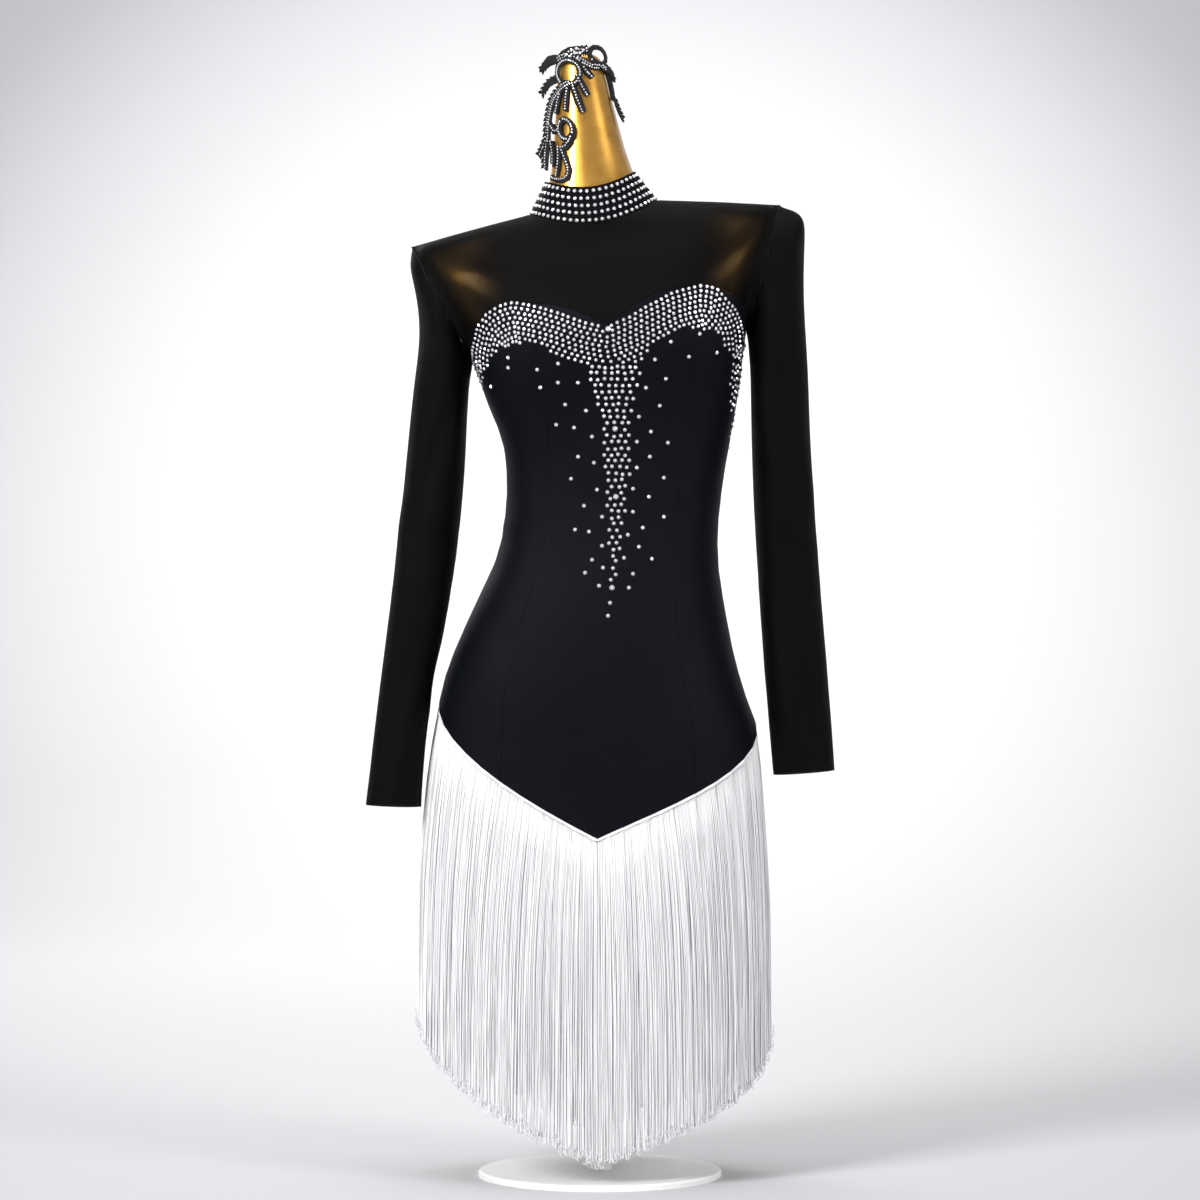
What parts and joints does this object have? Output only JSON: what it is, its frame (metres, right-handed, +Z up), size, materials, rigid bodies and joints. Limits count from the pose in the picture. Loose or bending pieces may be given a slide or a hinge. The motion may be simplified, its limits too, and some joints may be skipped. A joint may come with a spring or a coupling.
{
  "type": "ballroom dance dress on a limbless dress form",
  "caption": "Long-sleeved ballroom dance dress with a mesh yoke, a pointed hem and a long fringe skirt, on a limbless form with a pole and a round foot.",
  "frame": {"origin": "middle of the foot's flat underside, on the floor", "axes": "+Z up; the dress faces -Y; +X is to the right of someone who looks at its front"},
  "size_m": [0.4835, 0.2567, 1.1619],
  "materials": {
    "blue_black_stretch": "satin stretch knit",
    "black_mesh": "fine semi-sheer stretch mesh",
    "black_lace": "corded lace",
    "white_fringe": "soft chainette fringe",
    "black_zip_coil": "woven tape with nylon coil",
    "black_zip_metal": "black lacquer",
    "gold_brown_gloss": "glossy metallic lacquer on fibreglass",
    "white_painted_steel": "white powder coat"
  },
  "bodies": {
    "dress_and_form": {"bodice_front_left": "blue_black_stretch", "bodice_front_middle": "blue_black_stretch", "bodice_front_right": "blue_black_stretch", "bodice_back_left": "blue_black_stretch", "bodice_back_right": "blue_black_stretch", "yoke_front": "black_mesh", "yoke_back_left": "black_mesh", "yoke_back_right": "black_mesh", "collar": "black_mesh", "sleeve_left": "black_mesh", "sleeve_right": "black_mesh", "fringe_front": "white_fringe", "fringe_back": "white_fringe", "neck_lace": "black_lace", "zip_chain": "black_zip_coil", "zip_slider": "black_zip_metal", "form": "gold_brown_gloss", "pole": "white_painted_steel", "foot": "white_painted_steel"},
    "pull_tab": {"zip_pull": "black_zip_metal"}
  },
  "joints": [
    {"name": "pull_tab_swing", "type": "hinge", "parent": "dress_and_form", "child": "pull_tab", "pos_m": [-0.01095, 0.05183, 1.03545], "axis": [1, 0, 0], "range_deg": [0, 150]}
  ]
}
